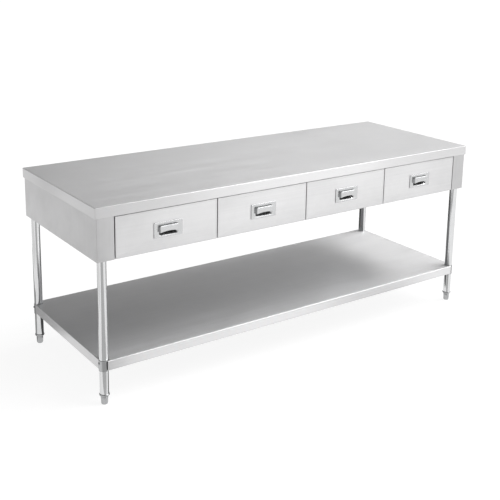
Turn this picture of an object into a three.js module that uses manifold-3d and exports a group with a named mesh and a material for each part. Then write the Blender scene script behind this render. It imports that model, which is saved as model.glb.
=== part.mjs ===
// Stainless steel work table with four drawers, a solid undershelf, round tube legs and bullet feet.
// Units are millimetres. +X runs along the table to the right, -Y is the drawer side, +Z is up,
// and the floor is at z = 0.

import * as THREE from "three";
import { mergeVertices } from "three/addons/utils/BufferGeometryUtils.js";
import Module from "manifold-3d";

const wasm = await Module();
wasm.setup();

// ---- driving dimensions -------------------------------------------------------------------------

const TABLE_LENGTH = 2100;
const TABLE_DEPTH = 750;
const TABLE_HEIGHT = 850;
const SHEET = 1.5; // sheet metal thickness
const GAP = 0.3; // air between pieces that touch on the real table

const TOP_EDGE = 45; // height of the worktop's turned-down edge
const TOP_RETURN = 15; // flange turned in under that edge
const TOP_CHANNEL = { halfWeb: 60, flange: 25, depth: 38, fromEnd: 25 }; // stiffener under the worktop
const HOUSING_BOTTOM = 625; // lower edge of the drawer housing
const SIDE_INSET = 6; // side panel behind the worktop's end
const FRONT_INSET = 4; // drawer fronts and posts behind the worktop's front edge
const REAR_INSET = 4;
const POST_WIDTH = 78; // strip of side panel that wraps round to the front
const POST_RETURN = 12;
const REAR_WRAP = 22;
const REAR_FLANGE = 8;

const DRAWER_COUNT = 4;
const DRAWER_PITCH = 482;
const FRONT_GAP = 3; // between neighbouring drawer fronts
const TOP_GAP = 2.5; // between a drawer front and the worktop's edge
const FRONT_THICKNESS = 16;
const BOX_WIDTH = 435;
const BOX_LENGTH = 600;
const BOX_BOTTOM = 650;
const BOX_HEIGHT = 120;
const DIVIDER_WIDTH = 20;
const DIVIDER_BOTTOM = 630;
const HOUSING_TOP = 800; // top of the dividers, rails and end frames

const RUNNER_LENGTH = 550;
const RUNNER_HEIGHT = 46;
const RUNNER_MID_Z = 700;
const RUNNER_DEPTH = 11.5;
const RUNNER_PLAY = 1.5; // ball race between the two members

const PULL_PLATE = { width: 134, height: 66, thickness: 3, corner: 4 };
const PULL_MID_Z = 712;
const DISH = { width: 86, low: -25, high: 17, depth: 12, corner: 10 }; // heights from the plate's middle
const HOOD = { width: 88, top: 19.5, projection: 11, round: 13, lip: -15, arch: 7.5 };
const HOOD_ROOT = 1; // depth the hood's rim is sunk into the plate

const LEG_RADIUS = 19;
const LEG_WALL = 1.2;
const LEG_FROM_END = 39; // leg axis behind the worktop's end
const LEG_FROM_FRONT = 32; // leg axis behind the worktop's front edge
const LEG_BOTTOM = 48;
const ROUND_SEGMENTS = 24;
const ARCH_SEGMENTS = 160; // of the large cylinder that arches the pull's lip

const SOCKET_RADIUS = 21.5;
const SOCKET_LENGTH = 60;
const END_FRAME_WIDTH = 50;
const END_FRAME_THICKNESS = 3;

const SHELF_TOP = 197;
const SHELF_EDGE = 42;
const SHELF_RETURN = 12;
const SHELF_END_INSET = 20;
const SHELF_FRONT_INSET = 6;
const SHELF_CHANNEL = { halfWeb: 45, flange: 20, depth: 30, fromEnd: 84 }; // stiffener under the shelf
const COLLAR_RADIUS = 21;
const COLLAR_BORE = 19.3;
const COLLAR_BOTTOM = 150;
const COLLAR_SLIT = 3;
const NOTCH_RADIUS = 21.5;
const RIM_PAST_LEG = 7; // the long rims of the shelf end this far short of the leg axis

const RAIL_FRONT_Y = -350;
const RAIL_DEPTH = 20;
const RAIL_HEIGHT = 20;
const RAIL_BOTTOM_Z = 627;
const RAIL_END_CLEARANCE = 5.5; // from a rail's end to the leg socket

const PANEL_X = TABLE_LENGTH / 2 - SIDE_INSET;
const FRONT_Y = -TABLE_DEPTH / 2 + FRONT_INSET;
const REAR_Y = TABLE_DEPTH / 2 - REAR_INSET;
const PULL_PLATE_Y = FRONT_Y - GAP - PULL_PLATE.thickness;
const PULL_OVERHANG = -TABLE_DEPTH / 2 - PULL_PLATE_Y + HOOD.projection; // pull in front of the worktop
const PANEL_TOP = TABLE_HEIGHT - TOP_EDGE - GAP;
const LEG_X = TABLE_LENGTH / 2 - LEG_FROM_END;
const LEG_Y = TABLE_DEPTH / 2 - LEG_FROM_FRONT;

const CORNERS = [
  { name: "front_left", x: -LEG_X, y: -LEG_Y },
  { name: "front_right", x: LEG_X, y: -LEG_Y },
  { name: "rear_left", x: -LEG_X, y: LEG_Y },
  { name: "rear_right", x: LEG_X, y: LEG_Y },
];

// ---- materials ----------------------------------------------------------------------------------

const FINISHES = {
  brushed_top: { color: 0xcfd1d2, roughness: 0.34, metalness: 1.0 },
  brushed_panel: { color: 0xd3d4d5, roughness: 0.36, metalness: 1.0 },
  brushed_shelf: { color: 0xb9bbbc, roughness: 0.38, metalness: 1.0 },
  polished_tube: { color: 0xd8d9da, roughness: 0.16, metalness: 1.0 },
  pull_steel: { color: 0xdedfe0, roughness: 0.12, metalness: 1.0 },
  foot_steel: { color: 0xb4b6b7, roughness: 0.3, metalness: 1.0 },
  galvanised: { color: 0xa9adb0, roughness: 0.5, metalness: 0.9 },
};

function finish(name) {
  const material = new THREE.MeshStandardMaterial(FINISHES[name]);
  material.name = name;
  return material;
}

// ---- shape helpers ------------------------------------------------------------------------------

function toSolid(geometry) {
  const plain = geometry.clone();
  plain.deleteAttribute("normal");
  plain.deleteAttribute("uv");
  const merged = mergeVertices(plain, 1e-4);
  return new wasm.Manifold(
    new wasm.Mesh({
      numProp: 3,
      vertProperties: new Float32Array(merged.attributes.position.array),
      triVerts: new Uint32Array(merged.index.array),
    })
  );
}

function toGeometry(solid) {
  const mesh = solid.getMesh();
  const geometry = new THREE.BufferGeometry();
  geometry.setAttribute("position", new THREE.BufferAttribute(mesh.vertProperties, 3));
  geometry.setIndex(new THREE.BufferAttribute(mesh.triVerts, 1));
  const flat = geometry.toNonIndexed();
  flat.computeVertexNormals();
  return flat;
}

function join(...geometries) {
  const solids = geometries.map(toSolid);
  return toGeometry(solids.reduce((whole, piece) => whole.add(piece)));
}

function cut(base, ...tools) {
  return toGeometry(tools.map(toSolid).reduce((left, tool) => left.subtract(tool), toSolid(base)));
}

// Box between two corners.
function block([x0, y0, z0], [x1, y1, z1]) {
  const geometry = new THREE.BoxGeometry(x1 - x0, y1 - y0, z1 - z0);
  return geometry.translate((x0 + x1) / 2, (y0 + y1) / 2, (z0 + z1) / 2);
}

// Box over a rectangle given by any two opposite corners.
function rectangleBlock([xa, ya], [xb, yb], z0, z1) {
  return block([Math.min(xa, xb), Math.min(ya, yb), z0], [Math.max(xa, xb), Math.max(ya, yb), z1]);
}

function outline(points) {
  return new THREE.Shape(points.map(([u, v]) => new THREE.Vector2(u, v)));
}

function extrude(shape, length, curveSegments = 6) {
  return new THREE.ExtrudeGeometry(shape, { depth: length, bevelEnabled: false, curveSegments });
}

// Outline in (y, z), swept along X.
function sweepX(shape, x0, x1) {
  const turn = new THREE.Matrix4().set(0, 0, 1, x0, 1, 0, 0, 0, 0, 1, 0, 0, 0, 0, 0, 1);
  return extrude(shape, x1 - x0).applyMatrix4(turn);
}

// Outline in (x, z), swept along Y.
function sweepY(shape, y0, y1) {
  return extrude(shape, y1 - y0).rotateX(Math.PI / 2).translate(0, y1, 0);
}

// Outline in (x, y), swept along Z.
function sweepZ(shape, z0, z1) {
  return extrude(shape, z1 - z0).translate(0, 0, z0);
}

// Solid of revolution about a vertical axis, from (radius, z) points.
function turned(points, segments = ROUND_SEGMENTS) {
  const profile = points.map(([r, z]) => new THREE.Vector2(r, z));
  return new THREE.LatheGeometry(profile, segments).rotateX(Math.PI / 2);
}

function rod(radius, x, y, z0, z1) {
  const geometry = new THREE.CylinderGeometry(radius, radius, z1 - z0, ROUND_SEGMENTS);
  return geometry.rotateX(Math.PI / 2).translate(x, y, (z0 + z1) / 2);
}

// U section with its web on the first v value and its two walls rising to the second.
function channelShape(u0, u1, vWeb, vOpen) {
  const step = Math.sign(vOpen - vWeb) * SHEET;
  return outline([
    [u0, vWeb],
    [u1, vWeb],
    [u1, vOpen],
    [u1 - SHEET, vOpen],
    [u1 - SHEET, vWeb + step],
    [u0 + SHEET, vWeb + step],
    [u0 + SHEET, vOpen],
    [u0, vOpen],
  ]);
}

// Hat section that hangs under a sheet: two top flanges, two walls and a bottom web.
function hatShape(halfWeb, flange, zTop, depth) {
  const low = zTop - depth;
  const wide = halfWeb + flange;
  return outline([
    [-wide, zTop],
    [-wide, zTop - SHEET],
    [-halfWeb, zTop - SHEET],
    [-halfWeb, low],
    [halfWeb, low],
    [halfWeb, zTop - SHEET],
    [wide, zTop - SHEET],
    [wide, zTop],
    [halfWeb - SHEET, zTop],
    [halfWeb - SHEET, low + SHEET],
    [-halfWeb + SHEET, low + SHEET],
    [-halfWeb + SHEET, zTop],
  ]);
}

function roundedRectangle(width, height, corner) {
  const [w, h] = [width / 2, height / 2];
  const shape = new THREE.Shape();
  shape.moveTo(-w + corner, -h);
  shape.lineTo(w - corner, -h);
  shape.absarc(w - corner, -h + corner, corner, -Math.PI / 2, 0);
  shape.lineTo(w, h - corner);
  shape.absarc(w - corner, h - corner, corner, 0, Math.PI / 2);
  shape.lineTo(-w + corner, h);
  shape.absarc(-w + corner, h - corner, corner, Math.PI / 2, Math.PI);
  shape.lineTo(-w, -h + corner);
  shape.absarc(-w + corner, -h + corner, corner, Math.PI, Math.PI * 1.5);
  return shape;
}

// Sheet folded down on four sides, with a flange turned in under each edge.
function foldedTray(halfX, halfY, zTop, edge, flange) {
  const body = block([-halfX, -halfY, zTop - edge], [halfX, halfY, zTop]);
  const inside = block(
    [-halfX + SHEET, -halfY + SHEET, zTop - edge + SHEET],
    [halfX - SHEET, halfY - SHEET, zTop - SHEET]
  );
  const mouth = block(
    [-halfX + flange, -halfY + flange, zTop - edge - SHEET],
    [halfX - flange, halfY - flange, zTop - edge + 2 * SHEET]
  );
  return { body, inside, mouth };
}

// ---- pieces -------------------------------------------------------------------------------------

const assembly = new THREE.Group();

function place(name, geometry, finishName, x = 0, y = 0, z = 0) {
  const mesh = new THREE.Mesh(geometry, finish(finishName));
  mesh.name = name;
  mesh.position.set(x, y, z);
  assembly.add(mesh);
}

// Hat-section stiffener under a sheet, along the length of the table.
function makeChannel({ halfWeb, flange, depth, fromEnd }, zTop) {
  const halfLength = TABLE_LENGTH / 2 - fromEnd;
  return sweepX(hatShape(halfWeb, flange, zTop, depth), -halfLength, halfLength);
}

function makeWorktop() {
  const tray = foldedTray(TABLE_LENGTH / 2, TABLE_DEPTH / 2, TABLE_HEIGHT, TOP_EDGE, TOP_RETURN);
  place("worktop", cut(tray.body, tray.inside, tray.mouth), "brushed_top");
  const under = TABLE_HEIGHT - SHEET - GAP;
  place("worktop_channel", makeChannel(TOP_CHANNEL, under), "galvanised");
}

// Side panel: one sheet that wraps round the front corner as a post and round the rear corner.
function makeSidePanel(side) {
  const sign = side === "left" ? -1 : 1;
  const post = PANEL_X - POST_WIDTH;
  const wrap = PANEL_X - REAR_WRAP;
  const section = [
    [post, FRONT_Y + POST_RETURN],
    [post, FRONT_Y],
    [PANEL_X, FRONT_Y],
    [PANEL_X, REAR_Y],
    [wrap, REAR_Y],
    [wrap, REAR_Y - SHEET],
    [PANEL_X - SHEET, REAR_Y - SHEET],
    [PANEL_X - SHEET, FRONT_Y + SHEET],
    [post + SHEET, FRONT_Y + SHEET],
    [post + SHEET, FRONT_Y + POST_RETURN],
  ];
  const shape = outline(section.map(([x, y]) => [sign * x, y]));
  place(`${side}_side_panel`, sweepZ(shape, HOUSING_BOTTOM, PANEL_TOP), "brushed_panel");
}

function makeRearPanel() {
  const shape = outline([
    [REAR_Y, HOUSING_BOTTOM],
    [REAR_Y, PANEL_TOP],
    [REAR_Y - REAR_FLANGE, PANEL_TOP],
    [REAR_Y - REAR_FLANGE, PANEL_TOP - SHEET],
    [REAR_Y - SHEET, PANEL_TOP - SHEET],
    [REAR_Y - SHEET, HOUSING_BOTTOM + SHEET],
    [REAR_Y - REAR_FLANGE, HOUSING_BOTTOM + SHEET],
    [REAR_Y - REAR_FLANGE, HOUSING_BOTTOM],
  ]);
  const halfLength = PANEL_X - REAR_WRAP - GAP;
  place("rear_panel", sweepX(shape, -halfLength, halfLength), "brushed_panel");
}

// The two rails behind the drawer fronts are channels that open to the rear.
function makeFrontRails() {
  const halfLength = LEG_X - SOCKET_RADIUS - RAIL_END_CLEARANCE;
  const rails = { front_bottom_rail: RAIL_BOTTOM_Z, front_top_rail: HOUSING_TOP - RAIL_HEIGHT };
  for (const [name, low] of Object.entries(rails)) {
    const section = block(
      [-halfLength, RAIL_FRONT_Y, low],
      [halfLength, RAIL_FRONT_Y + RAIL_DEPTH, low + RAIL_HEIGHT]
    );
    const hollow = block(
      [-halfLength - SHEET, RAIL_FRONT_Y + SHEET, low + SHEET],
      [halfLength + SHEET, RAIL_FRONT_Y + RAIL_DEPTH + SHEET, low + RAIL_HEIGHT - SHEET]
    );
    place(name, cut(section, hollow), "galvanised");
  }
}

function makeDividers() {
  const front = RAIL_FRONT_Y + RAIL_DEPTH + GAP;
  const half = DIVIDER_WIDTH / 2;
  const shape = channelShape(-half, half, HOUSING_TOP - GAP, DIVIDER_BOTTOM);
  for (let i = 0; i <= DRAWER_COUNT; i += 1) {
    const x = (i - DRAWER_COUNT / 2) * DRAWER_PITCH;
    place(`drawer_divider_${i + 1}`, sweepY(shape, front, REAR_Y - SHEET - GAP), "galvanised", x);
  }
}

// End frame: a cross plate under the worktop with a leg socket at each end.
function makeEndFrame(side, x) {
  const half = END_FRAME_WIDTH / 2;
  const reach = LEG_Y + SOCKET_RADIUS;
  const plateLow = HOUSING_TOP - END_FRAME_THICKNESS;
  const plate = block([x - half, -reach, plateLow], [x + half, reach, HOUSING_TOP]);
  const sockets = [-LEG_Y, LEG_Y].map((y) =>
    rod(SOCKET_RADIUS, x, y, HOUSING_TOP - SOCKET_LENGTH, HOUSING_TOP)
  );
  const bores = [-LEG_Y, LEG_Y].map((y) =>
    rod(LEG_RADIUS + GAP, x, y, HOUSING_TOP - SOCKET_LENGTH - SHEET, plateLow)
  );
  place(`end_frame_${side}`, cut(join(plate, ...sockets), ...bores), "galvanised");
}

function makeLeg(corner) {
  const top = HOUSING_TOP - END_FRAME_THICKNESS - GAP;
  const bore = LEG_RADIUS - LEG_WALL;
  const tube = turned([
    [LEG_RADIUS, LEG_BOTTOM + GAP],
    [LEG_RADIUS, top],
    [bore, top],
    [bore, LEG_BOTTOM + GAP],
    [LEG_RADIUS, LEG_BOTTOM + GAP],
  ]);
  place(`leg_${corner.name}`, tube, "polished_tube", corner.x, corner.y);
}

// Insert pressed into the foot of the leg: a flange ring below the tube and a threaded plug inside it.
function makeFootInsert(corner) {
  const plug = LEG_RADIUS - LEG_WALL - GAP;
  const insert = turned([
    [6.3, 38],
    [18.5, 38],
    [21.5, 41],
    [21.5, 46],
    [20, LEG_BOTTOM],
    [plug, LEG_BOTTOM],
    [plug, 74],
    [6.3, 74],
    [6.3, 38],
  ]);
  place(`foot_insert_${corner.name}`, insert, "foot_steel", corner.x, corner.y);
}

// Bullet foot with its screw stem.
function makeFoot(corner) {
  const foot = turned([
    [0, 0],
    [10, 0],
    [13.2, 2.2],
    [14.2, 6],
    [15.3, 35],
    [14.6, 37.5],
    [6, 37.5],
    [6, 82],
    [0, 82],
  ]);
  place(`bullet_foot_${corner.name}`, foot, "foot_steel", corner.x, corner.y);
}

function makeUndershelf() {
  const halfX = TABLE_LENGTH / 2 - SHELF_END_INSET;
  const halfY = TABLE_DEPTH / 2 - SHELF_FRONT_INSET;
  const tray = foldedTray(halfX, halfY, SHELF_TOP, SHELF_EDGE, SHELF_RETURN);
  const low = SHELF_TOP - SHELF_EDGE - SHEET;
  const high = SHELF_TOP + SHEET;
  const notches = [];
  for (const { x, y } of CORNERS) {
    const [signX, signY] = [Math.sign(x), Math.sign(y)];
    const outer = [x + signX * NOTCH_RADIUS * 2, y + signY * NOTCH_RADIUS * 2];
    notches.push(rod(NOTCH_RADIUS, x, y, low, high));
    notches.push(rectangleBlock([x - signX * RIM_PAST_LEG, y], outer, low, high));
  }
  place("undershelf", cut(tray.body, tray.inside, tray.mouth, ...notches), "brushed_shelf");
  const under = SHELF_TOP - SHEET - GAP;
  place("shelf_channel", makeChannel(SHELF_CHANNEL, under), "galvanised");
}

// Split collar that clamps the shelf corner to the leg.
function makeCollar(corner) {
  const top = SHELF_TOP - GAP;
  const ring = turned([
    [COLLAR_RADIUS, COLLAR_BOTTOM],
    [COLLAR_RADIUS, top],
    [COLLAR_BORE, top],
    [COLLAR_BORE, COLLAR_BOTTOM],
    [COLLAR_RADIUS, COLLAR_BOTTOM],
  ]);
  const outward = Math.sign(corner.y);
  const slitY = [outward * (COLLAR_BORE - 4), outward * (COLLAR_RADIUS + 4)].sort((a, b) => a - b);
  const slit = block(
    [-COLLAR_SLIT / 2, slitY[0], COLLAR_BOTTOM - SHEET],
    [COLLAR_SLIT / 2, slitY[1], top + SHEET]
  );
  place(`shelf_collar_${corner.name}`, cut(ring, slit), "polished_tube", corner.x, corner.y);
}

// Pair of telescopic members on one side of a drawer: the outer one on the divider, the inner on the box.
function makeRunner(number, side, bayX) {
  const sign = side === "left" ? -1 : 1;
  const bayHalf = (DRAWER_PITCH - DIVIDER_WIDTH) / 2;
  const outerHalf = RUNNER_HEIGHT / 2;
  const innerHalf = outerHalf - SHEET - RUNNER_PLAY;
  const outerWeb = bayHalf - GAP;
  const innerWeb = BOX_WIDTH / 2 + GAP;
  const outer = channelShape(-outerHalf, outerHalf, outerWeb, outerWeb - RUNNER_DEPTH);
  const inner = channelShape(-innerHalf, innerHalf, innerWeb, outerWeb - SHEET - 1);
  const outerStart = RAIL_FRONT_Y + RAIL_DEPTH + GAP;
  const innerStart = RAIL_FRONT_Y + GAP;
  // channelShape lies in (z, x); turning it about Y stands it up on the drawer's side.
  const stand = (shape, start) =>
    sweepY(shape, start, start + RUNNER_LENGTH).rotateY(sign * Math.PI / 2).translate(bayX, 0, RUNNER_MID_Z);
  place(`drawer_${number}_outer_runner_${side}`, stand(outer, outerStart), "galvanised");
  place(`drawer_${number}_inner_runner_${side}`, stand(inner, innerStart), "galvanised");
}

// Block with the outline of the pull's dish, drawn in by an inset all round.
function dishBlock(inset, y0, y1) {
  const width = DISH.width - 2 * inset;
  const height = DISH.high - DISH.low - 2 * inset;
  const shape = roundedRectangle(width, height, DISH.corner - inset);
  return sweepY(shape, y0, y1).translate(0, 0, (DISH.high + DISH.low) / 2);
}

function makeDrawerFront(number, bayX) {
  const half = (DRAWER_PITCH - FRONT_GAP) / 2;
  const top = TABLE_HEIGHT - TOP_EDGE - TOP_GAP;
  const back = FRONT_Y + FRONT_THICKNESS;
  const slab = block([-half, FRONT_Y, HOUSING_BOTTOM], [half, back, top]);
  const hollow = block(
    [-half + SHEET, FRONT_Y + SHEET, HOUSING_BOTTOM + SHEET],
    [half - SHEET, back + SHEET, top - SHEET]
  );
  const window = dishBlock(-2 * GAP, FRONT_Y - SHEET, FRONT_Y + 2 * SHEET).translate(0, 0, PULL_MID_Z);
  place(`drawer_${number}_front`, cut(slab, hollow, window), "brushed_panel", bayX);
}

function makeDrawerBox(number, bayX) {
  const half = BOX_WIDTH / 2;
  const front = FRONT_Y + FRONT_THICKNESS + GAP;
  const back = front + BOX_LENGTH;
  const top = BOX_BOTTOM + BOX_HEIGHT;
  const body = block([-half, front, BOX_BOTTOM], [half, back, top]);
  const inside = block(
    [-half + SHEET, front + SHEET, BOX_BOTTOM + SHEET],
    [half - SHEET, back - SHEET, top + SHEET]
  );
  place(`drawer_${number}_box`, cut(body, inside), "galvanised", bayX);
}

// Side view of the pull's hood: rounded at the top, flat in front. Values are (projection, height).
function hoodShape(inset) {
  const reach = HOOD.projection - inset;
  const top = HOOD.top - inset;
  const shape = new THREE.Shape();
  shape.moveTo(HOOD_ROOT, top);
  shape.lineTo(0, top);
  shape.quadraticCurveTo(-reach, top, -reach, top - HOOD.round);
  shape.lineTo(-reach, HOOD.lip - inset);
  shape.lineTo(HOOD_ROOT, HOOD.lip - inset);
  return shape;
}

// Flush cup pull: a plate with a dish pressed in behind it and a hood over the dish's upper part.
function makePull(number, bayX) {
  const plateFront = PULL_PLATE_Y;
  const plate = sweepY(
    roundedRectangle(PULL_PLATE.width, PULL_PLATE.height, PULL_PLATE.corner),
    plateFront,
    plateFront + PULL_PLATE.thickness
  );
  const dishBack = plateFront + PULL_PLATE.thickness + DISH.depth;
  const dish = dishBlock(0, plateFront + SHEET, dishBack);
  const dishInside = dishBlock(SHEET, plateFront - SHEET, dishBack - SHEET);
  const hood = sweepX(hoodShape(0), -HOOD.width / 2, HOOD.width / 2).translate(0, plateFront, 0);
  const hoodInside = sweepX(hoodShape(SHEET), -HOOD.width / 2 + SHEET, HOOD.width / 2 - SHEET);
  hoodInside.translate(0, plateFront, 0);
  const archRadius = ((HOOD.width / 2) ** 2 + HOOD.arch ** 2) / (2 * HOOD.arch);
  const archDepth = HOOD.projection + 4 * SHEET;
  const arch = new THREE.CylinderGeometry(archRadius, archRadius, archDepth, ARCH_SEGMENTS);
  arch.translate(0, plateFront + HOOD_ROOT + SHEET - archDepth / 2, HOOD.lip + HOOD.arch - archRadius);
  const shell = cut(join(plate, dish), dishInside);
  const cover = cut(hood, hoodInside, arch);
  const pull = join(shell, cover);
  place(`drawer_${number}_pull`, pull, "pull_steel", bayX, 0, PULL_MID_Z);
}

// ---- assembly -----------------------------------------------------------------------------------

makeWorktop();
makeSidePanel("left");
makeSidePanel("right");
makeRearPanel();
makeFrontRails();
makeDividers();
makeEndFrame("left", -LEG_X);
makeEndFrame("right", LEG_X);
makeUndershelf();
for (const corner of CORNERS) {
  makeLeg(corner);
  makeFootInsert(corner);
  makeFoot(corner);
  makeCollar(corner);
}
for (let number = 1; number <= DRAWER_COUNT; number += 1) {
  const bayX = (number - (DRAWER_COUNT + 1) / 2) * DRAWER_PITCH;
  makeDrawerFront(number, bayX);
  makeDrawerBox(number, bayX);
  makePull(number, bayX);
  makeRunner(number, "left", bayX);
  makeRunner(number, "right", bayX);
}

// The origin is the floor point under the middle of the overall box, pulls included.
assembly.position.y = PULL_OVERHANG / 2;
const table = new THREE.Group();
table.add(assembly);

export default table;
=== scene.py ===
import math

import bmesh
import bpy
from mathutils import Matrix, Vector


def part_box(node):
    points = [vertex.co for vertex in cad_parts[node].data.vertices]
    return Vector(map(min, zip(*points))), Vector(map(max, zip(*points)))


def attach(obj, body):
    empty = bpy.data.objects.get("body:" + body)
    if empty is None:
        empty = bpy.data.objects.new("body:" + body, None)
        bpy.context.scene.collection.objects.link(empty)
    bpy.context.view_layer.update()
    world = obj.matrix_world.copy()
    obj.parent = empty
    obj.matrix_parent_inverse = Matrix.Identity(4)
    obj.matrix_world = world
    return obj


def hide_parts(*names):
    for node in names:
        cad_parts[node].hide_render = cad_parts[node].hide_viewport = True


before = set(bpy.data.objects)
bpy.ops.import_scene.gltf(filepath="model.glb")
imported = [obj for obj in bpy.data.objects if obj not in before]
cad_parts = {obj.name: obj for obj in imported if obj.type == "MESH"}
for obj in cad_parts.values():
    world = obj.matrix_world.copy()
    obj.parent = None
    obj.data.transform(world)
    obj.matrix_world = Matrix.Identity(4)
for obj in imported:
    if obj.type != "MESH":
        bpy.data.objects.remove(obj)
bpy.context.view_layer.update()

# Lengths below are in millimetres and are turned into metres by MM where a mesh is made.
MM = 0.001
SHEET = 1.5
BEND = 2.6  # outer radius of a fold in the panels and boxes
WORKTOP_BEND = 1.8  # the worktop, shelf and drawer fronts are folded more sharply
SHELF_BEND = 1.9
FRONT_BEND = 2.2
LEG_RADIUS = 19.0
COLLAR_RADIUS = 21.0
SHARP_ANGLE = 32  # degrees between faces from which an edge is shaded sharp
CIRCLE_POINTS = 24  # points round a bolt, washer or hole
CORNERS = ("front_left", "front_right", "rear_left", "rear_right")
DRAWERS = (1, 2, 3, 4)


# ---- camera -----------------------------------------------------------------

def make_camera():
    """Stands to the front left of the table, above the worktop."""
    turn = math.radians(35.28)
    tilt = math.radians(-12.83)
    roll = math.radians(0.93)
    level = Vector((math.cos(turn), -math.sin(turn), 0))
    ahead = Vector((math.sin(turn), math.cos(turn), 0))
    forward = ahead * math.cos(tilt) + Vector((0, 0, math.sin(tilt)))
    above = level.cross(forward)
    right = level * math.cos(roll) + above * math.sin(roll)
    up = above * math.cos(roll) - level * math.sin(roll)
    data = bpy.data.cameras.new("camera")
    data.sensor_width = 36
    data.lens = 64.13
    data.shift_y = -0.21
    data.clip_end = 200
    camera = bpy.data.objects.new("camera", data)
    axes = Matrix((right, up, -forward)).transposed().to_4x4()
    camera.matrix_world = Matrix.Translation((-2.4638, -3.3972, 1.8605)) @ axes
    bpy.context.scene.collection.objects.link(camera)
    bpy.context.scene.camera = camera


make_camera()


# ---- node helpers -----------------------------------------------------------

class Graph:
    """Adds nodes to a material or world and links them."""

    def __init__(self, tree):
        self.tree = tree
        tree.nodes.clear()

    def add(self, kind, settings=None, **inputs):
        node = self.tree.nodes.new(kind)
        for key, value in (settings or {}).items():
            setattr(node, key, value)
        for key, value in inputs.items():
            self.feed(node, key, value)
        return node

    def feed(self, node, key, value):
        """Sets or links one input, named by its number as i0, i1, ... or by its name."""
        if key[0] == "i" and key[1:].isdigit():
            socket = node.inputs[int(key[1:])]
        else:
            socket = node.inputs[key.replace("_", " ")]
        if isinstance(value, bpy.types.NodeSocket):
            self.tree.links.new(value, socket)
        else:
            socket.default_value = value

    def ramp(self, factor, stops):
        """Ramp of greys from (place, grey) stops."""
        node = self.add("ShaderNodeValToRGB")
        self.tree.links.new(factor, node.inputs[0])
        elements = node.color_ramp.elements
        while len(elements) < len(stops):
            elements.new(0.5)
        for element, (place, tone) in zip(elements, stops):
            element.position = place
            element.color = (tone, tone, tone, 1)
        return node.outputs[0]

    def span(self, value, low, high, start=0.0, end=1.0):
        """Carries a value from start..end to low..high."""
        node = self.add("ShaderNodeMapRange", i0=value, i1=start, i2=end, i3=low, i4=high)
        return node.outputs[0]

    def multiply(self, first, second):
        settings = {"data_type": "RGBA", "blend_type": "MULTIPLY"}
        node = self.add("ShaderNodeMix", settings, i0=1.0, i6=first, i7=second)
        return node.outputs[2]

    def noise(self, vector, scale, detail, roughness):
        node = self.add(
            "ShaderNodeTexNoise",
            Vector=vector,
            Scale=scale,
            Detail=detail,
            Roughness=roughness,
        )
        return node.outputs[0]


def new_material(name):
    material = bpy.data.materials.new(name)
    material.use_nodes = True
    return material, Graph(material.node_tree)


# ---- materials --------------------------------------------------------------

# Scales of the noise that draws the lines of a finish, across and along the grain.
BRUSH_ACROSS, BRUSH_ALONG = 170.0, 1.6
DRAWN_ACROSS, DRAWN_ALONG = 420.0, 9.0
X_GRAIN, Z_GRAIN = 0, 2


def brushed_steel(name, colour, roughness, grain, anisotropy=0.6, streak=0.08, smudge=0.06):
    """Steel ground with a belt: streaks along one axis, soft smudges and brighter worn folds."""
    material, graph = new_material(name)
    place = graph.add("ShaderNodeTexCoord").outputs["Object"]
    scale = [BRUSH_ACROSS] * 3
    scale[grain] = BRUSH_ALONG
    stretched = graph.add("ShaderNodeMapping", Vector=place, Scale=scale).outputs[0]
    lines = graph.noise(stretched, 1.0, 9, 0.66)
    blotch = graph.noise(place, 2.6, 3, 0.5)
    hands = graph.noise(place, 11.0, 4, 0.6)
    tone = graph.ramp(lines, [(0.25, 1 - streak), (0.75, 1.0)])
    soft = graph.ramp(blotch, [(0.3, 1 - smudge), (0.7, 1.0)])
    touched = graph.ramp(hands, [(0.45, 1.0), (0.75, 1 - smudge * 0.6)])
    point = graph.add("ShaderNodeNewGeometry").outputs["Pointiness"]
    worn = graph.ramp(point, [(0.50, 1.0), (0.56, 1.06)])
    base = graph.multiply((*colour, 1), tone)
    base = graph.multiply(graph.multiply(base, soft), touched)
    base = graph.multiply(base, worn)
    rough_lines = graph.span(lines, roughness - 0.05, roughness + 0.05, 0.3, 0.7)
    rough_hands = graph.span(hands, -smudge / 3, smudge, 0.4, 0.8)
    total = {"operation": "ADD"}
    rough = graph.add("ShaderNodeMath", total, i0=rough_lines, i1=rough_hands).outputs[0]
    axis = [0.02, 0.0, 0.02]  # the small part turns the grain up or along the faces that end it
    axis[grain] = 1.0
    along = graph.add("ShaderNodeCombineXYZ", i0=axis[0], i1=axis[1], i2=axis[2]).outputs[0]
    normal = graph.add("ShaderNodeNewGeometry").outputs["Normal"]
    cross = {"operation": "CROSS_PRODUCT"}
    across = graph.add("ShaderNodeVectorMath", cross, i0=normal, i1=along).outputs[0]
    bump = graph.add("ShaderNodeBump", Strength=0.1, Distance=0.0004, Height=lines).outputs[0]
    surface = graph.add(
        "ShaderNodeBsdfPrincipled",
        Base_Color=base,
        Metallic=1.0,
        Roughness=rough,
        Anisotropic=anisotropy,
        Normal=bump,
        Tangent=across,
    )
    graph.add("ShaderNodeOutputMaterial", Surface=surface.outputs[0])
    return material


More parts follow.
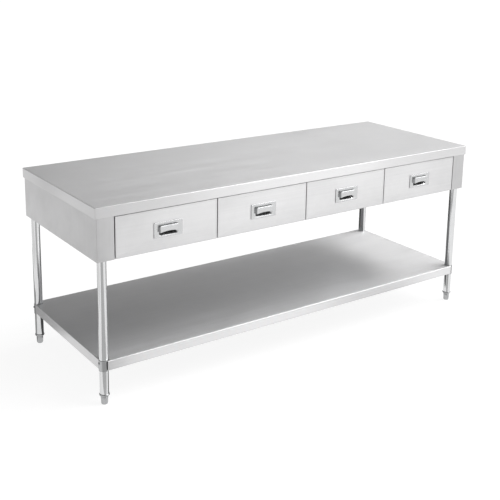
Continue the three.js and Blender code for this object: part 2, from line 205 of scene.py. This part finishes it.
def polished_steel(name, colour, roughness, grain=Z_GRAIN):
    """Bright steel with faint drawn lines and a little haze."""
    material, graph = new_material(name)
    place = graph.add("ShaderNodeTexCoord").outputs["Object"]
    scale = [DRAWN_ACROSS] * 3
    scale[grain] = DRAWN_ALONG
    stretched = graph.add("ShaderNodeMapping", Vector=place, Scale=scale).outputs[0]
    lines = graph.noise(stretched, 1.0, 6, 0.6)
    haze = graph.noise(place, 24.0, 4, 0.6)
    tone = graph.ramp(lines, [(0.3, 0.94), (0.7, 1.0)])
    soft = graph.ramp(haze, [(0.35, 0.95), (0.7, 1.0)])
    base = graph.multiply(graph.multiply((*colour, 1), tone), soft)
    rough = graph.span(haze, roughness - 0.03, roughness + 0.07, 0.3, 0.75)
    bump = graph.add("ShaderNodeBump", Strength=0.05, Distance=0.0002, Height=lines).outputs[0]
    surface = graph.add(
        "ShaderNodeBsdfPrincipled", Base_Color=base, Metallic=1.0, Roughness=rough, Normal=bump
    )
    graph.add("ShaderNodeOutputMaterial", Surface=surface.outputs[0])
    return material


def zinc_steel(name, colour, roughness):
    """Zinc coated sheet with its crystal pattern."""
    material, graph = new_material(name)
    place = graph.add("ShaderNodeTexCoord").outputs["Object"]
    cells = graph.add("ShaderNodeTexVoronoi", {"feature": "F1"}, Vector=place, Scale=75.0)
    grey = graph.add("ShaderNodeRGBToBW", Color=cells.outputs["Color"]).outputs[0]
    dust = graph.noise(place, 30.0, 5, 0.6)
    tone = graph.ramp(grey, [(0.2, 0.84), (0.8, 1.0)])
    soft = graph.ramp(dust, [(0.3, 0.88), (0.7, 1.0)])
    base = graph.multiply(graph.multiply((*colour, 1), tone), soft)
    rough = graph.span(grey, roughness - 0.08, roughness + 0.08)
    bump = graph.add("ShaderNodeBump", Strength=0.08, Distance=0.0003, Height=dust).outputs[0]
    surface = graph.add(
        "ShaderNodeBsdfPrincipled", Base_Color=base, Metallic=0.9, Roughness=rough, Normal=bump
    )
    graph.add("ShaderNodeOutputMaterial", Surface=surface.outputs[0])
    return material


WORKTOP = brushed_steel(
    "worktop_steel",
    (0.65, 0.648, 0.652),
    0.34,
    X_GRAIN,
    anisotropy=0.85,
    streak=0.06,
    smudge=0.02,
)
SHELF = brushed_steel(
    "shelf_steel",
    (0.69, 0.688, 0.692),
    0.37,
    X_GRAIN,
    anisotropy=0.85,
    smudge=0.03,
)
# Darker copy of the drawer steel: painted shade for the end and rear panels, which face away from the
# light.
SHADED_PANEL = brushed_steel("panel_steel", (0.56, 0.558, 0.562), 0.34, Z_GRAIN)
DRAWER = brushed_steel("drawer_steel", (0.665, 0.663, 0.667), 0.34, X_GRAIN)
TUBE = polished_steel("tube_steel", (0.74, 0.745, 0.75), 0.09)
PULL = polished_steel("pull_steel", (0.62, 0.625, 0.63), 0.22, X_GRAIN)
# Near-black copy of the pull steel: painted shade for the pull's dish, groove and hood underside.
PULL_PAINTED_SHADE = polished_steel("pull_painted_shade_steel", (0.10, 0.10, 0.10), 0.45, X_GRAIN)
COLLAR = polished_steel("collar_steel", (0.50, 0.505, 0.51), 0.30)
FOOT = polished_steel("foot_steel", (0.45, 0.455, 0.46), 0.26)
ZINC = zinc_steel("galvanised_steel", (0.56, 0.58, 0.60), 0.46)


# ---- mesh helpers -----------------------------------------------------------

def shade_smooth(mesh, crease):
    """Smooth shading with sharp edges where faces meet at more than crease degrees."""
    for polygon in mesh.polygons:
        polygon.use_smooth = True
    mesh.set_sharp_from_angle(angle=math.radians(crease))


def finish_mesh(name, mesh_data, material, body, node=None, crease=SHARP_ANGLE):
    """Makes one closed, smooth-shaded object that rides on a body and may stand for a CAD node."""
    mesh = bpy.data.meshes.new(name)
    if isinstance(mesh_data, bmesh.types.BMesh):
        built = mesh_data
    else:
        built = bmesh.new()
        made = [built.verts.new(Vector(v) * MM) for v in mesh_data[0]]
        for face in mesh_data[1]:
            built.faces.new([made[i] for i in face])
    bmesh.ops.recalc_face_normals(built, faces=built.faces)
    built.to_mesh(mesh)
    built.free()
    shade_smooth(mesh, crease)
    obj = bpy.data.objects.new(name, mesh)
    bpy.context.scene.collection.objects.link(obj)
    mesh.materials.append(material)
    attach(obj, body)
    if node:
        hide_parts(node)
    return obj


def join_parts(*parts):
    """Several (points, faces) pairs as one."""
    points, faces = [], []
    for part_points, part_faces in parts:
        start = len(points)
        points.extend(part_points)
        faces.extend([tuple(i + start for i in face) for face in part_faces])
    return points, faces


def arc(centre, radius, start, end, steps):
    """Points on an arc in a plane; angles are in degrees."""
    turns = [math.radians(start + (end - start) * i / steps) for i in range(steps + 1)]
    return [(centre[0] + radius * math.cos(a), centre[1] + radius * math.sin(a)) for a in turns]


def circle(radius):
    """Ring of CIRCLE_POINTS points about the origin."""
    step = 360 / CIRCLE_POINTS
    return arc((0, 0), radius, 0, 360 - step, CIRCLE_POINTS - 1)


def rounded_ring(half_u, half_v, radius, steps=5):
    """Rectangle with rounded corners, with the same number of points for any radius."""
    r = max(radius, 0.02)
    points = []
    for sign_u, sign_v, start in ((1, -1, -90), (1, 1, 0), (-1, 1, 90), (-1, -1, 180)):
        points += arc((sign_u * (half_u - r), sign_v * (half_v - r)), r, start, start + 90, steps)
    return points


def loft(rings):
    """Closed skin over rings of equal length, each a list of points in space."""
    count = len(rings[0])
    points = [p for ring in rings for p in ring]
    faces = []
    for row in range(len(rings) - 1):
        for i in range(count):
            j = (i + 1) % count
            low, high = row * count, (row + 1) * count
            faces.append((low + i, low + j, high + j, high + i))
    last = (len(rings) - 1) * count
    faces.append(tuple(reversed(range(count))))
    faces.append(tuple(range(last, last + count)))
    return points, faces


def tray_section(edge, flange, bend):
    """(inset, drop) points over a folded tray: from the top down outside and back up inside."""
    steps = 5
    inner = bend - SHEET
    section = [(bend + 6, 0), (bend + 1, 0)]
    section += arc((bend, bend), bend, -90, -180, steps)
    section += [(0, bend + 1), (0, edge - bend - 1)]
    section += arc((bend, edge - bend), bend, 180, 90, steps)
    section += [(flange - 0.5, edge), (flange, edge - 0.5)]
    section += [(flange, edge - SHEET + 0.4), (flange - 0.4, edge - SHEET)]
    section += arc((bend, edge - bend), inner, 90, 180, steps)
    section += arc((bend, bend), inner, -180, -90, steps)
    section.append((bend + 6, SHEET))
    return section


def tray(half_u, half_v, edge, flange, corner, place, bend):
    """Sheet folded back on four sides. place turns (u, v, drop) into a point in space."""
    rings = []
    for inset, drop in tray_section(edge, flange, bend):
        ring = rounded_ring(half_u - inset, half_v - inset, corner - inset)
        rings.append([place(u, v, drop) for u, v in ring])
    return loft(rings)


def ribbon(corners, bend=BEND - SHEET / 2):
    """Closed outline of a folded strip whose middle line runs through the corners."""
    steps = 5
    line = [Vector(corners[0])]
    for before, corner, after in zip(corners, corners[1:], corners[2:]):
        before, corner, after = Vector(before), Vector(corner), Vector(after)
        into, out = (corner - before).normalized(), (after - corner).normalized()
        half = into.angle(out) / 2
        cut = bend * math.tan(half)
        start = corner - into * cut
        end = corner + out * cut
        for i in range(steps + 1):
            t = i / steps
            first = start.lerp(corner, t)
            second = corner.lerp(end, t)
            line.append(first.lerp(second, t))
    line.append(Vector(corners[-1]))
    left, right = [], []
    for i, point in enumerate(line):
        ahead = line[min(i + 1, len(line) - 1)] - line[max(i - 1, 0)]
        side = Vector((-ahead.y, ahead.x)).normalized() * (SHEET / 2)
        left.append(point + side)
        right.append(point - side)
    return [tuple(p) for p in left + right[::-1]]


def prism(outline, start, end, place):
    """Outline swept straight from start to end; place turns (u, v, w) into a point in space."""
    return loft([[place(u, v, w) for u, v in outline] for w in (start, end)])


def soften(points, radius):
    """Rounds every inner corner of an open outline."""
    steps = 4
    out = [points[0]]
    for before, corner, after in zip(points, points[1:], points[2:]):
        before, corner, after = Vector(before), Vector(corner), Vector(after)
        reach = min(radius, (corner - before).length * 0.45, (after - corner).length * 0.45)
        start = corner + (before - corner).normalized() * reach
        end = corner + (after - corner).normalized() * reach
        for i in range(steps + 1):
            t = i / steps
            out.append(tuple(start.lerp(corner, t).lerp(corner.lerp(end, t), t)))
    out.append(points[-1])
    return out


def turned(profile, x, y, closed):
    """Solid turned about a vertical axis from (radius, height) points."""
    segments = 72
    rings = []
    for i in range(segments):
        a = 2 * math.pi * i / segments
        rings.append([(x + r * math.cos(a), y + r * math.sin(a), z) for r, z in profile])
    count = len(profile)
    points = [p for ring in rings for p in ring]
    faces = []
    for i in range(segments):
        j = (i + 1) % segments
        for k in range(count if closed else count - 1):
            m = (k + 1) % count
            faces.append((i * count + k, j * count + k, j * count + m, i * count + m))
    return points, faces


def turned_object(name, profile, axis, material, body, node, closed):
    """Turned solid with the doubled points on its axis joined."""
    points, faces = turned(profile, *axis, closed)
    built = bmesh.new()
    made = [built.verts.new(Vector(p) * MM) for p in points]
    for face in faces:
        built.faces.new([made[i] for i in face])
    bmesh.ops.remove_doubles(built, verts=built.verts, dist=1e-6)
    return finish_mesh(name, built, material, body, node)


def cut_away(obj, cutters):
    """Takes closed cutter meshes out of an object."""
    for cutter in cutters:
        modifier = obj.modifiers.new("cut", "BOOLEAN")
        modifier.operation = "DIFFERENCE"
        modifier.solver = "EXACT"
        modifier.object = cutter
    graph = bpy.context.evaluated_depsgraph_get()
    mesh = bpy.data.meshes.new_from_object(obj.evaluated_get(graph))
    obj.modifiers.clear()
    obj.data = mesh
    shade_smooth(mesh, SHARP_ANGLE)
    for cutter in cutters:
        bpy.data.objects.remove(cutter)


def cutter_object(mesh_data):
    """Plain closed object for cut_away, which removes it again."""
    mesh = bpy.data.meshes.new("cutter")
    mesh.from_pydata([Vector(p) * MM for p in mesh_data[0]], [], mesh_data[1])
    built = bmesh.new()
    built.from_mesh(mesh)
    bmesh.ops.recalc_face_normals(built, faces=built.faces)
    built.to_mesh(mesh)
    built.free()
    obj = bpy.data.objects.new("cutter", mesh)
    bpy.context.scene.collection.objects.link(obj)
    return obj


def box_mm(node):
    """Lowest and highest corner of a CAD node in millimetres."""
    low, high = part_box(node)
    return low / MM, high / MM


# ---- worktop and housing ----------------------------------------------------

def level_tray(node, flange, bend):
    """Tray that lies level, with its edges folded down, in the place of a CAD node."""
    low, high = box_mm(node)
    middle = (low + high) / 2
    corner = 2.2
    return tray(
        (high.x - low.x) / 2,
        (high.y - low.y) / 2,
        high.z - low.z,
        flange,
        corner,
        lambda u, v, drop: (middle.x + u, middle.y + v, high.z - drop),
        bend,
    )


def make_worktop():
    shape = level_tray("worktop", 15, WORKTOP_BEND)
    finish_mesh("worktop_sheet", shape, WORKTOP, "frame", "worktop")


def make_side_panel(side):
    """End panel: folded round both corners, and hemmed inwards along its lower edge."""
    node = f"{side}_side_panel"
    low, high = box_mm(node)
    out, sign = (low.x, 1) if side == "left" else (high.x, -1)
    half = SHEET / 2
    post = high.x - low.x - half
    front_lip, rear_lip = 12, 22
    line = [
        (out + sign * post, low.y + front_lip),
        (out + sign * post, low.y + half),
        (out + sign * half, low.y + half),
        (out + sign * half, high.y - half),
        (out + sign * rear_lip, high.y - half),
    ]
    panel = prism(ribbon(line), low.z, high.z, lambda u, v, w: (u, v, w))
    hem_height, hem_width, hem_end, clearance = 14, 13, 22, 0.2
    inside = out + sign * (SHEET + clearance + half)
    flange = prism(
        ribbon([(0, hem_height), (0, half), (hem_width, half)], bend=1.4),
        low.y + hem_end,
        high.y - hem_end,
        lambda u, v, w: (inside + sign * u, w, low.z + v),
    )
    finish_mesh(f"{side}_end_panel", join_parts(panel, flange), SHADED_PANEL, "frame", node)


def make_rear_panel():
    """Closing panel with a flange forwards along its upper and lower edge."""
    low, high = box_mm("rear_panel")
    half = SHEET / 2
    line = [(low.y, high.z - half), (high.y - half, high.z - half)]
    line += [(high.y - half, low.z + half), (low.y, low.z + half)]
    shape = prism(ribbon(line), low.x, high.x, lambda u, v, w: (w, u, v))
    finish_mesh("rear_closing_panel", shape, SHADED_PANEL, "frame", "rear_panel")


# ---- shelf ------------------------------------------------------------------

def leg_axis(corner):
    """X and Y of a leg's middle."""
    low, high = box_mm(f"leg_{corner}")
    return (low.x + high.x) / 2, (low.y + high.y) / 2


def make_shelf():
    """Shelf whose four corners are cut out round the legs."""
    low, high = box_mm("undershelf")
    shelf = finish_mesh(
        "undershelf_sheet",
        level_tray("undershelf", 12, SHELF_BEND),
        SHELF,
        "frame",
        "undershelf",
    )
    reach = COLLAR_RADIUS + 0.5
    wrap = 7  # the long rims end this far short of the leg axis
    far, past = 60, 10  # the cut runs this far beyond the shelf's corner, and above and below it
    rim_turn = math.degrees(math.acos(-wrap / reach))
    notch = [(far, 0), (far, far), (-wrap, far)] + arc((0, 0), reach, rim_turn, 360, 40)
    cutters = []
    for corner in CORNERS:
        x, y = leg_axis(corner)
        out_x = math.copysign(1, x)
        out_y = math.copysign(1, y - (low.y + high.y) / 2)
        outline = [(x + out_x * u, y + out_y * v) for u, v in notch]
        block = prism(outline, low.z - past, high.z + past, lambda u, v, w: (u, v, w))
        cutters.append(cutter_object(block))
    cut_away(shelf, cutters)


# ---- legs, collars and feet -------------------------------------------------

def make_leg(corner):
    """Thin-walled tube, open at both ends, with the edges of its ends broken."""
    node = f"leg_{corner}"
    low, high = box_mm(node)
    outer, inner = LEG_RADIUS, LEG_RADIUS - 1.2
    wall = [(inner, low.z + 5), (inner, low.z), (outer, low.z)]
    wall += [(outer, high.z), (inner, high.z), (inner, high.z - 5)]
    turned_object(
        f"leg_tube_{corner}",
        soften(wall, 0.5),
        leg_axis(corner),
        TUBE,
        "frame",
        node,
        closed=True,
    )


def make_collar(corner):
    """Split sleeve with rolled ends, and the small bolt that clamps it."""
    node = f"shelf_collar_{corner}"
    low, high = box_mm(node)
    x, y = leg_axis(corner)
    inner, outer = LEG_RADIUS + 0.25, COLLAR_RADIUS
    loop = [(inner + 0.4, low.z), (outer - 0.4, low.z), (outer, low.z + 0.6)]
    loop += [(outer, high.z - 0.6), (outer - 0.4, high.z), (inner + 0.4, high.z)]
    loop += [(inner, high.z - 0.4), (inner, low.z + 0.4)]
    side = 90 if corner.startswith("rear") else -90
    gap = 4.2
    steps = 72
    rings = []
    for i in range(steps + 1):
        a = math.radians(side + gap + (360 - 2 * gap) * i / steps)
        rings.append([(x + r * math.cos(a), y + r * math.sin(a), z) for r, z in loop])
    finish_mesh(f"collar_{corner}", loft(rings), COLLAR, "frame", node)
    bolt_drop = 13
    centre = (x, y, high.z - bolt_drop)
    make_bolt(f"collar_bolt_{corner}", centre, math.copysign(1, x), outer - 0.6)


def make_bolt(name, centre, sign, start):
    """Hexagon bolt head with a chamfered crown on a washer, pointing along X."""
    x, y, z = centre

    def place(u, v, w):
        return (x + sign * (start + w), y + u, z + v)

    flat_radius, crown_radius = 4.0, 3.698
    washer = []
    for radius, height in ((5.6, 0), (5.9, 0.2), (5.9, 1.1), (5.6, 1.3)):
        washer.append([place(u, v, height) for u, v in circle(radius)])
    flats = []
    for i in range(CIRCLE_POINTS):
        degrees = i * 360 / CIRCLE_POINTS
        a = math.radians(degrees)
        r = flat_radius / math.cos(math.radians(degrees % 60 - 30))
        flats.append((r * math.cos(a), r * math.sin(a)))
    crown = circle(crown_radius)
    head = loft(
        [
            [place(u, v, 1.2) for u, v in flats],
            [place(u, v, 3.6) for u, v in flats],
            [place(u, v, 4.3) for u, v in crown],
        ]
    )
    finish_mesh(name, join_parts(loft(washer), head), FOOT, "frame")


def make_foot_insert(corner):
    """Plug with a flange ring that closes the lower end of a leg."""
    node = f"foot_insert_{corner}"
    low, high = box_mm(node)
    shoulder = low.z + 10
    bore, plug, ring = 6.4, 17.4, 21.5
    outline = [(bore, low.z), (18.6, low.z), (ring, low.z + 3), (ring, shoulder - 2)]
    outline += [(19.6, shoulder), (plug, shoulder), (plug, high.z), (bore, high.z)]
    turned_object(
        f"foot_ring_{corner}",
        soften(outline, 0.9),
        leg_axis(corner),
        FOOT,
        "frame",
        node,
        closed=True,
    )


def make_foot(corner):
    """Bullet foot: tapered body, rounded toe, turned neck, tommy-bar hole and threaded stem."""
    x, y = leg_axis(corner)
    profile = [(0, 0), (9.5, 0), (13.0, 1.4), (14.1, 5.5), (14.6, 17), (15.3, 29)]
    profile += [(15.3, 32.2), (14.7, 33), (14.7, 34), (15.3, 34.8), (15.3, 36.6)]
    root, crest = 5.1, 5.95  # radii of the thread
    profile = soften(profile + [(14.2, 37.5), (root, 37.5)], 1.6)
    turns, pitch = 25, 1.75
    for i in range(turns):
        z = 38.2 + i * pitch
        profile += [(root, z), (crest, z + pitch * 0.45), (crest, z + pitch * 0.55)]
    profile += [(root, 82), (0, 82)]
    foot = turned_object(
        f"foot_bullet_{corner}",
        profile,
        (x, y),
        FOOT,
        f"foot_{corner}",
        f"bullet_foot_{corner}",
        closed=False,
    )
    turn = math.radians(-38)
    hole_height = 11
    axis = Vector((math.cos(turn), math.sin(turn)))
    side = Vector((-axis.y, axis.x))

    def place(u, v, w):
        spot = Vector((x, y)) + axis * w + side * u
        return (spot.x, spot.y, hole_height + v)

    cut_away(foot, [cutter_object(prism(circle(2.2), -20, 20, place))])


# ---- drawers ----------------------------------------------------------------

PLATE_BEHIND_HOOD = 11  # the plate's face lies this far behind the front of the hood
DISH_SHADE = 10.4  # the painted shade in the dish starts this far behind the plate's face
DISH_BELOW_PULL = 4  # the middle of the window for the dish is this far below the pull's
HOOD_HALF = 43.5
HOOD_TOP = 19.5
HOOD_CORNER = 6
HOOD_BEND = 1.8
HOOD_SHEET = 1.2
HOOD_LEAN = 0.07  # part of its depth by which the hood leans back at the top
LIP_ENDS = -9.5  # height of the hood's lip at its ends, from the middle of the pull
LIP_ARCH = 5.5


def pull_centre(number):
    """Middle of a pull, at the front of its hood."""
    low, high = box_mm(f"drawer_{number}_pull")
    return Vector(((low.x + high.x) / 2, low.y, (low.z + high.z) / 2))


def make_front(number):
    """Drawer front: a pan folded back on four sides, with a window behind the pull."""
    node = f"drawer_{number}_front"
    low, high = box_mm(node)
    middle = (low + high) / 2
    flange, corner = 11, 1.6
    shape = tray(
        (high.x - low.x) / 2,
        (high.z - low.z) / 2,
        high.y - low.y,
        flange,
        corner,
        lambda u, v, drop: (middle.x + u, low.y + drop, middle.z + v),
        FRONT_BEND,
    )
    body = f"drawer_{number}"
    front = finish_mesh(f"drawer_{number}_face", shape, DRAWER, body, node)
    centre = pull_centre(number)
    below = centre.z - DISH_BELOW_PULL
    half_width, half_height, rounding, through = 43.6, 21.6, 10.6, 5
    window = prism(
        rounded_ring(half_width, half_height, rounding),
        low.y - through,
        low.y + through,
        lambda u, v, w: (centre.x + u, w, below + v),
    )
    cut_away(front, [cutter_object(window)])


def make_pull(number):
    """Cup pull pressed from bright steel: plate, dish and a hood with an arched lip."""
    centre = pull_centre(number)
    face = centre.y + PLATE_BEHIND_HOOD

    def place(u, v, w):
        return (centre.x + u, face - w, centre.z + v)

    plate = make_plate(place)
    pull = finish_mesh(
        f"drawer_{number}_cup_pull",
        join_parts(plate, make_hood(place)),
        PULL,
        f"drawer_{number}",
        f"drawer_{number}_pull",
        crease=50,
    )
    # The dish, the groove round the upper hood and the hood's underside get a near-black steel:
    # painted shade in these hollows and under the hood.
    pull.data.materials.append(PULL_PAINTED_SHADE)
    for polygon in pull.data.polygons:
        spot = polygon.center / MM
        across, up = abs(spot.x - centre.x), spot.z - centre.z
        beside_hood = across < HOOD_HALF + 5 and 7 < up < HOOD_TOP + 5
        in_groove = beside_hood and spot.y > face + 0.15
        in_dish = spot.y > face + DISH_SHADE
        under_hood = polygon.index >= len(plate[1]) and polygon.normal.y > 0.2
        if in_groove or in_dish or under_hood:
            polygon.material_index = 1


def make_plate(place):
    """Plate and dish, from rings of (half width, low, high, corner radius, height above the face)."""
    back = [(43, -24, 17, 9, -15), (43, -24, 17, 9, -3)]
    rim = [(66.2, -32.2, 32.2, 4, -3), (67, -33, 33, 4, -2.4), (67, -33, 33, 4, -0.5)]
    rim += [(66.5, -32.5, 32.5, 3.5, 0), (65.9, -31.9, 31.9, 3, 0)]
    mouth = [(46.4, -26.2, 22.4, 9, 0), (45.6, -25.2, 21.6, 8.6, -0.3)]
    mouth += [(43.4, -24, 19.3, 8, -1.2), (42.4, -22.6, 18.4, 8, -3)]
    dish = [(41, -19.8, 17.4, 8, -6), (39.2, -16.2, 16.4, 7.6, -9)]
    dish += [(36.8, -11.5, 15.2, 7, -11.5), (33.5, -6, 13.4, 6, -13), (28, 0, 10.5, 5, -13.5)]
    rings = []
    for half_u, low, high, corner, w in back + rim + mouth + dish:
        ring = rounded_ring(half_u, (high - low) / 2, corner, 8)
        rings.append([place(u, v + (low + high) / 2, w) for u, v in ring])
    return loft(rings)


def make_hood(place):
    """Hood with an outer and an inner skin, with closer rows and columns at its edges."""
    columns, rows = 64, 22
    across = [math.sin(math.pi / 2 * (2 * i / columns - 1)) for i in range(columns + 1)]
    down = [(j / rows) ** 1.8 for j in range(rows + 1)]
    shell = []
    for depth in (0.0, HOOD_SHEET):
        shell.append([[hood_point(s, v, depth) for s in across] for v in down])
    return hood_skin(shell, place)


def hood_point(s, v, depth):
    """Point on the hood: s from -1 to 1 across, v from 0 at the top to 1 at the lip, depth inwards."""
    half = HOOD_HALF - depth
    corner = max(0, abs(s) * half - (half - HOOD_CORNER)) / HOOD_CORNER
    top = HOOD_TOP - depth - HOOD_CORNER * (1 - math.sqrt(1 - min(corner, 1) ** 2))
    lip = LIP_ENDS + LIP_ARCH * (1 - s * s)
    z = top + (lip - top) * v
    bend = HOOD_BEND - depth * 0.5
    side = bend_rise(half * (1 - abs(s)) / bend)
    lean = 1 - HOOD_LEAN * (1 - math.sin(math.pi / 2 * v))
    rise = bend_rise((top - z) / bend) * lean
    w = -1 + (PLATE_BEHIND_HOOD + 0.5 - depth) * side * rise
    return (s * half, z, w)


def bend_rise(t):
    """Rise of a quarter-round edge at a distance of t radii from where it starts."""
    return math.sqrt(1 - (1 - min(max(t, 0), 1)) ** 2)


def hood_skin(shell, place):
    """Joins the outer and inner grids of the hood along their edges."""
    rows, columns = len(shell[0]), len(shell[0][0])
    points = [place(*p) for grid in shell for row in grid for p in row]
    size = rows * columns
    faces = []
    for j in range(rows - 1):
        for i in range(columns - 1):
            a = j * columns + i
            faces.append((a, a + 1, a + columns + 1, a + columns))
            b = a + size
            faces.append((b, b + columns, b + columns + 1, b + 1))
    rim = list(range(columns))
    rim += [j * columns + columns - 1 for j in range(1, rows)]
    rim += [(rows - 1) * columns + i for i in range(columns - 2, -1, -1)]
    rim += [j * columns for j in range(rows - 2, 0, -1)]
    for k, a in enumerate(rim):
        b = rim[(k + 1) % len(rim)]
        faces.append((a, a + size, b + size, b))
    return points, faces


def make_box(number):
    """Drawer box folded from one sheet, open at the top, with its rim rolled over."""
    node = f"drawer_{number}_box"
    low, high = box_mm(node)
    middle = (low + high) / 2
    deep = high.z - low.z
    inner = BEND - SHEET
    # (inset, drop) points: up the outside, over the rolled rim, and down the inside
    section = [(BEND + 6, deep), (BEND + 1, deep)]
    section += arc((BEND, deep - BEND), BEND, 90, 180, 5)
    section += [(0, 9), (0, 8), (-0.4, 7), (-0.4, 1.2)]
    section += [(0.1, 0.3), (1.0, 0.0), (1.6, 0.3), (2.0, 1.2), (SHEET, 2.5), (SHEET, 10)]
    section += arc((BEND, deep - BEND), inner, 180, 90, 5)
    section.append((BEND + 6, deep - SHEET))
    rings = []
    half_x, half_y = (high.x - low.x) / 2, (high.y - low.y) / 2
    for inset, drop in section:
        ring = rounded_ring(half_x - max(inset, 0), half_y - max(inset, 0), 3 - inset)
        rings.append([(middle.x + u, middle.y + v, high.z - drop) for u, v in ring])
    body = f"drawer_{number}"
    finish_mesh(f"drawer_{number}_tray", loft(rings), ZINC, body, node)


# ---- plain CAD pieces -------------------------------------------------------

def dress_cad_nodes():
    """Hidden structure keeps its CAD shape, with its edges broken and a zinc finish."""
    for name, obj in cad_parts.items():
        if obj.hide_render:
            continue
        obj.data.materials.clear()
        obj.data.materials.append(ZINC)
        weld = obj.modifiers.new("weld", "WELD")
        weld.merge_threshold = 1e-5
        bevel = obj.modifiers.new("bevel", "BEVEL")
        bevel.width = 0.35 * MM
        bevel.segments = 2
        bevel.limit_method = "ANGLE"
        bevel.angle_limit = math.radians(40)


# ---- studio -----------------------------------------------------------------

def make_floor():
    """Large white disc that glows, so that it stays pale out to the horizon."""
    mesh = bpy.data.meshes.new("floor")
    built = bmesh.new()
    bmesh.ops.create_circle(built, cap_ends=True, segments=64, radius=80)
    built.to_mesh(mesh)
    built.free()
    floor = bpy.data.objects.new("floor", mesh)
    bpy.context.scene.collection.objects.link(floor)
    material, graph = new_material("floor_white")
    diffuse = graph.add("ShaderNodeBsdfDiffuse", Color=(0.2, 0.2, 0.2, 1))
    glow = graph.add("ShaderNodeEmission", Color=(1, 1, 1, 1), Strength=0.88)
    both = graph.add("ShaderNodeAddShader", i0=diffuse.outputs[0], i1=glow.outputs[0])
    graph.add("ShaderNodeOutputMaterial", Surface=both.outputs[0])
    mesh.materials.append(material)


def make_world():
    """Pale studio: bright at the horizon, greyer above it, and brighter to the right."""
    world = bpy.data.worlds.new("studio")
    world.use_nodes = True
    bpy.context.scene.world = world
    graph = Graph(world.node_tree)
    direction = graph.add("ShaderNodeTexCoord").outputs["Generated"]
    x, _, z = graph.add("ShaderNodeSeparateXYZ", Vector=direction).outputs
    horizon = [(0.0, 1.0), (0.16, 0.80), (0.24, 0.61)]
    overhead = [(0.34, 0.39), (0.6, 0.32), (1.0, 0.33)]
    height = graph.ramp(z, horizon + overhead)
    right = graph.span(x, 0.85, 1.3, 0.3, 0.75)
    dot, patch = {"operation": "DOT_PRODUCT"}, (0.63, -0.25, 0.735)
    nearness = graph.add("ShaderNodeVectorMath", dot, i0=direction, i1=patch).outputs[1]
    glow = graph.span(nearness, 0.0, 5.0, 0.88, 0.97)
    multiply_add = {"operation": "MULTIPLY_ADD"}
    tone = graph.add("ShaderNodeMath", multiply_add, i0=height, i1=right, i2=glow).outputs[0]
    background = graph.add("ShaderNodeBackground", Color=(1, 1, 1, 1), Strength=tone)
    graph.add("ShaderNodeOutputWorld", Surface=background.outputs[0])


def area_light(name, place, target, size, power):
    """Rectangular softbox turned towards a target; the camera doesn't see it."""
    data = bpy.data.lights.new(name, "AREA")
    data.shape = "RECTANGLE"
    data.size, data.size_y = size
    data.energy = power
    light = bpy.data.objects.new(name, data)
    light.location = place
    light.rotation_euler = (Vector(target) - Vector(place)).to_track_quat("-Z", "Y").to_euler()
    bpy.context.scene.collection.objects.link(light)
    light.visible_camera = False


def make_reflection_card(name, outline, tone):
    """Glowing grey card on the floor, seen only in the steel: a painted reflection of darker parts of
    a studio.
    """
    above_floor = 0.0005
    mesh = bpy.data.meshes.new(name)
    points = [(x, y, above_floor) for x, y in outline]
    mesh.from_pydata(points, [], [tuple(range(len(outline)))])
    card = bpy.data.objects.new(name, mesh)
    bpy.context.scene.collection.objects.link(card)
    card.visible_camera = False
    card.visible_shadow = False
    card.visible_diffuse = False
    material, graph = new_material(f"{name}_grey")
    surface = graph.add("ShaderNodeEmission", Color=(tone, tone, tone, 1), Strength=1.0)
    graph.add("ShaderNodeOutputMaterial", Surface=surface.outputs[0])
    mesh.materials.append(material)


# ---- everything -------------------------------------------------------------

make_worktop()
make_side_panel("left")
make_side_panel("right")
make_rear_panel()
make_shelf()
for corner in CORNERS:
    make_leg(corner)
    make_collar(corner)
    make_foot_insert(corner)
    make_foot(corner)
for number in DRAWERS:
    make_front(number)
    make_pull(number)
    make_box(number)
dress_cad_nodes()
make_floor()
make_world()
area_light("overhead_softbox", (0.3, -0.6, 3.6), (0, 0, 0), (4.5, 3.0), 12)
area_light("front_right_softbox", (2.2, -3.6, 1.3), (0, 0, 0.6), (2.4, 1.8), 16)
make_reflection_card("left_card", [(-9, -0.6), (-2, -0.6), (-2, 9), (-9, 9)], 0.88)
make_reflection_card("rear_left_card", [(-1.6, 0.36), (-0.97, 0.36), (-0.97, 1.7), (-1.6, 1.7)], 0.35)
# The near-black rear card runs under the table and behind it: painted shade under the table, seen only
# in the steel.
beside_rear_legs = [(-0.95, -0.36), (0.85, -0.36), (0.85, 0.45)]
behind_table = [(2.4, 0.45), (2.4, 3.2), (-0.95, 3.2)]
make_reflection_card("rear_shade_card", beside_rear_legs + behind_table, 0.08)
left_of_drawers = [(-1, -0.4), (-1.45, -0.5), (-3.6, -2.6)]
before_drawers = [(-2.4, -4.2), (-0.6, -3.4), (-0.7, -0.7)]
make_reflection_card("front_card", left_of_drawers + before_drawers, 0.55)
make_reflection_card("front_right_card", [(1, -0.4), (0.6, -0.4), (0.2, -0.8), (0.9, -0.8)], 0.5)

bpy.context.scene.view_settings.view_transform = "Standard"
bpy.context.scene.view_settings.look = "None"
